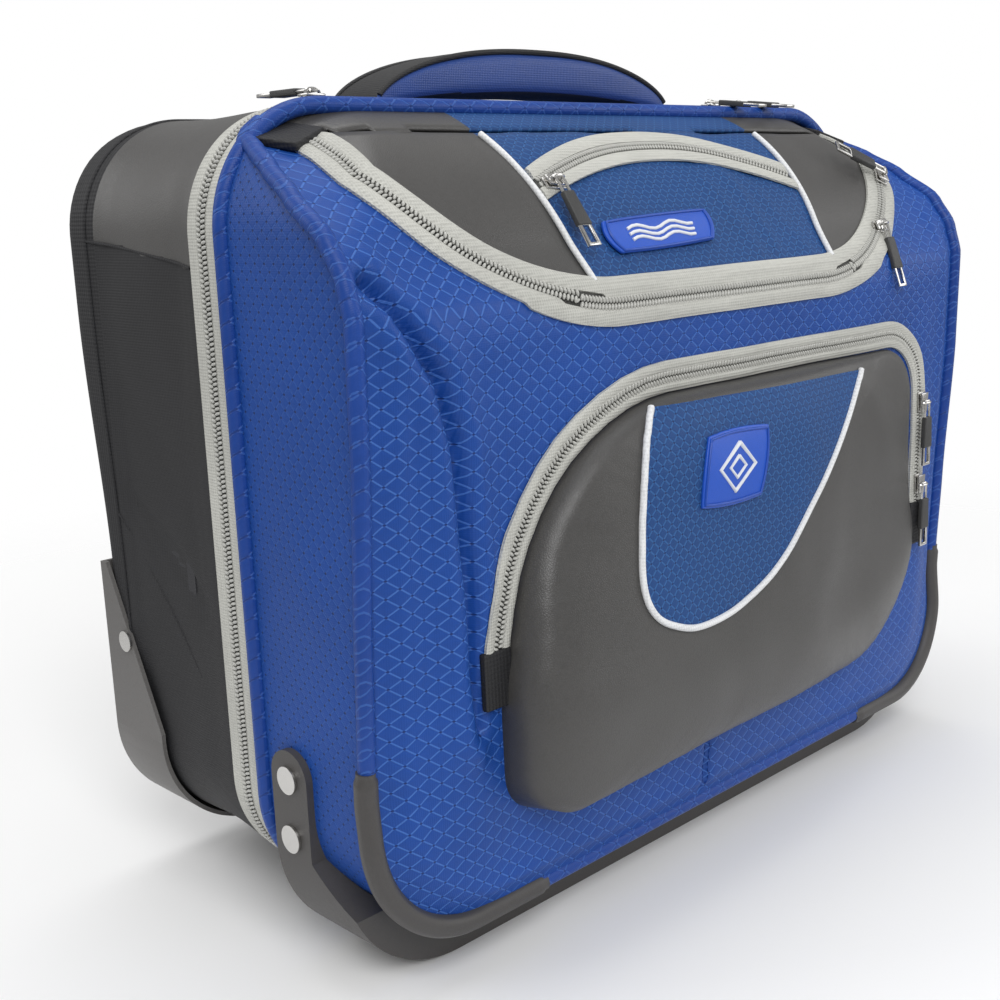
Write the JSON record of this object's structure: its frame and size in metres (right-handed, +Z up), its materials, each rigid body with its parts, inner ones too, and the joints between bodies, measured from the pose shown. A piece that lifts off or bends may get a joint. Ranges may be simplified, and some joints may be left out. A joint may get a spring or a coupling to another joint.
{
  "type": "rolling laptop case",
  "caption": "Soft-sided rolling laptop case: a zipped clamshell with a top flap, a front pocket, a carry handle, a telescoping trolley handle, wheels and a foot bar.",
  "frame": {"origin": "on the floor under the middle of the case's bounding box", "axes": "+Z up, +X across the case to the right as seen from the front, -Y towards the front pocket, +Y towards the trolley handle"},
  "size_m": [0.441, 0.235, 0.388],
  "materials": {
    "blue_fabric": "satin",
    "black_nylon": "satin",
    "charcoal_vinyl": "satin",
    "lining": "matt",
    "zip_tape": "matt",
    "zip_coil": "satin",
    "blue_piping": "satin",
    "white_piping": "gloss",
    "moulded_rubber": "matt",
    "moulded_plastic": "satin",
    "badge_rubber": "satin",
    "nickel": "polished",
    "tube_metal": "satin",
    "grip_plastic": "satin",
    "button_plastic": "satin",
    "tyre": "matt",
    "hub_plastic": "satin",
    "axle_steel": "brushed",
    "board": "matt"
  },
  "bodies": {
    "rear_case": {"rear_shell": "black_nylon", "back_board": "board", "laptop_divider": "lining", "main_zip_coil": "zip_coil", "main_zip_tape_rear": "zip_tape", "bottom_hinge_strip": "black_nylon", "corner_guard_left": "moulded_plastic", "corner_guard_right": "moulded_plastic", "guard_rivets": "nickel", "wheel_housing_left": "moulded_plastic", "wheel_housing_right": "moulded_plastic", "wheel_axles": "axle_steel", "trolley_outer_tubes": "tube_metal", "trolley_base": "moulded_plastic", "trolley_bezel": "moulded_plastic", "carry_anchors": "moulded_plastic"},
    "front_case": {"front_shell": "blue_fabric", "front_divider": "lining", "main_zip_tape_front": "zip_tape", "rear_piping": "blue_piping", "front_piping": "blue_piping", "corner_piping": "moulded_rubber", "foot_bar": "moulded_plastic", "foot_rivets": "nickel", "flap_zip_tape_outer": "zip_tape", "pocket_lower": "charcoal_vinyl", "pocket_zip_tape": "zip_tape"},
    "top_flap": {"flap_panel": "charcoal_vinyl", "flap_zip_tape_inner": "zip_tape", "flap_piping": "white_piping", "top_pocket_zip": "zip_tape", "flap_badge": "badge_rubber", "flap_slider_a": "nickel", "flap_slider_b": "nickel"},
    "pocket_flap": {"pocket_upper": "charcoal_vinyl", "pocket_badge": "badge_rubber"},
    "wheel_left": {"wheel_tyre_left": "tyre", "wheel_hub_left": "hub_plastic"},
    "wheel_right": {"wheel_tyre_right": "tyre", "wheel_hub_right": "hub_plastic"},
    "trolley_middle": {"trolley_middle_tubes": "tube_metal"},
    "trolley_top": {"trolley_inner_tubes": "tube_metal", "trolley_grip": "grip_plastic"},
    "grip_button": {"grip_button": "button_plastic"},
    "carry_handle": {"carry_handle_pad": "blue_fabric", "carry_straps": "black_nylon"},
    "main_slider_a": {"main_slider_a": "nickel"},
    "main_slider_b": {"main_slider_b": "nickel"},
    "main_slider_c": {"main_slider_c": "nickel"},
    "main_pull_a": {"main_pull_a": "nickel"},
    "main_pull_b": {"main_pull_b": "nickel"},
    "main_pull_c": {"main_pull_c": "nickel"},
    "top_pocket_slider": {"top_pocket_slider": "nickel"},
    "top_pocket_pull": {"top_pocket_pull": "nickel"},
    "flap_pull_a": {"flap_pull_a": "nickel"},
    "flap_pull_b": {"flap_pull_b": "nickel"},
    "pocket_slider_a": {"pocket_slider_a": "nickel"},
    "pocket_slider_b": {"pocket_slider_b": "nickel"},
    "pocket_pull_a": {"pocket_pull_a": "nickel"},
    "pocket_pull_b": {"pocket_pull_b": "nickel"}
  },
  "joints": [
    {"name": "case_opens", "type": "hinge", "parent": "rear_case", "child": "front_case", "pos_m": [0, 0.00215, 0.025], "axis": [1, 0, 0], "range_deg": [0, 90]},
    {"name": "top_flap_opens", "type": "hinge", "parent": "front_case", "child": "top_flap", "pos_m": [0, -0.02967, 0.345], "axis": [-1, 0, 0], "range_deg": [0, 90]},
    {"name": "pocket_opens", "type": "hinge", "parent": "front_case", "child": "pocket_flap", "pos_m": [0, -0.116, 0.14], "axis": [1, 0, 0], "range_deg": [0, 60]},
    {"name": "wheel_left_rolls", "type": "hinge", "parent": "rear_case", "child": "wheel_left", "pos_m": [-0.137, 0.0855, 0.032], "axis": [1, 0, 0], "continuous": true},
    {"name": "wheel_right_rolls", "type": "hinge", "parent": "rear_case", "child": "wheel_right", "pos_m": [0.137, 0.0855, 0.032], "axis": [1, 0, 0], "continuous": true},
    {"name": "trolley_lower_stage", "type": "slide", "parent": "rear_case", "child": "trolley_middle", "axis": [0, 0, 1], "range_m": [0, 0.23]},
    {"name": "trolley_upper_stage", "type": "slide", "parent": "trolley_middle", "child": "trolley_top", "axis": [0, 0, 1], "range_m": [0, 0.23]},
    {"name": "grip_button_press", "type": "slide", "parent": "trolley_top", "child": "grip_button", "axis": [0, 0, -1], "range_m": [0, 0.003], "stiffness_N_per_m": 300, "springref_m": -0.003},
    {"name": "carry_handle_lifts", "type": "slide", "parent": "rear_case", "child": "carry_handle", "axis": [0, 0, 1], "range_m": [0, 0.015]},
    {"name": "main_slider_a_runs", "type": "slide", "parent": "rear_case", "child": "main_slider_a", "axis": [1, 0, 0], "range_m": [-0.17, 0]},
    {"name": "main_pull_a_swings", "type": "hinge", "parent": "main_slider_a", "child": "main_pull_a", "pos_m": [0.112, 0.005, 0.3629], "axis": [-1, 0, 0], "range_deg": [0, 170]},
    {"name": "main_slider_b_runs", "type": "slide", "parent": "rear_case", "child": "main_slider_b", "axis": [1, 0, 0], "range_m": [0, 0.02]},
    {"name": "main_pull_b_swings", "type": "hinge", "parent": "main_slider_b", "child": "main_pull_b", "pos_m": [0.138, 0.005, 0.3629], "axis": [-1, 0, 0], "range_deg": [0, 170]},
    {"name": "main_slider_c_runs", "type": "slide", "parent": "rear_case", "child": "main_slider_c", "axis": [1, 0, 0], "range_m": [0, 0.04]},
    {"name": "main_pull_c_swings", "type": "hinge", "parent": "main_slider_c", "child": "main_pull_c", "pos_m": [-0.157, 0.005, 0.3629], "axis": [1, 0, 0], "range_deg": [0, 170]},
    {"name": "top_pocket_slider_runs", "type": "hinge", "parent": "top_flap", "child": "top_pocket_slider", "pos_m": [0, -0.22881, 0.15567], "axis": [0, 0.702, -0.7122], "range_deg": [0, 38.75]},
    {"name": "top_pocket_pull_swings", "type": "hinge", "parent": "top_pocket_slider", "child": "top_pocket_pull", "pos_m": [-0.084, -0.06443, 0.32488], "axis": [-1, 0, 0], "range_deg": [0, 150]},
    {"name": "flap_pull_a_swings", "type": "hinge", "parent": "top_flap", "child": "flap_pull_a", "pos_m": [0.17459, -0.06631, 0.3227], "axis": [0.5307, 0.5479, 0.6466], "range_deg": [0, 150]},
    {"name": "flap_pull_b_swings", "type": "hinge", "parent": "top_flap", "child": "flap_pull_b", "pos_m": [0.1458, -0.08384, 0.29587], "axis": [-1, 0, 0], "range_deg": [0, 150]},
    {"name": "pocket_slider_a_runs", "type": "slide", "parent": "front_case", "child": "pocket_slider_a", "axis": [0, 0, 1], "range_m": [-0.008, 0]},
    {"name": "pocket_pull_a_swings", "type": "hinge", "parent": "pocket_slider_a", "child": "pocket_pull_a", "pos_m": [0.17, -0.0926, 0.198], "axis": [-1, 0, 0], "range_deg": [0, 150]},
    {"name": "pocket_slider_b_runs", "type": "slide", "parent": "front_case", "child": "pocket_slider_b", "axis": [0, 0, 1], "range_m": [-0.005, 0.006]},
    {"name": "pocket_pull_b_swings", "type": "hinge", "parent": "pocket_slider_b", "child": "pocket_pull_b", "pos_m": [0.17, -0.0926, 0.152], "axis": [-1, 0, 0], "range_deg": [0, 150]}
  ]
}
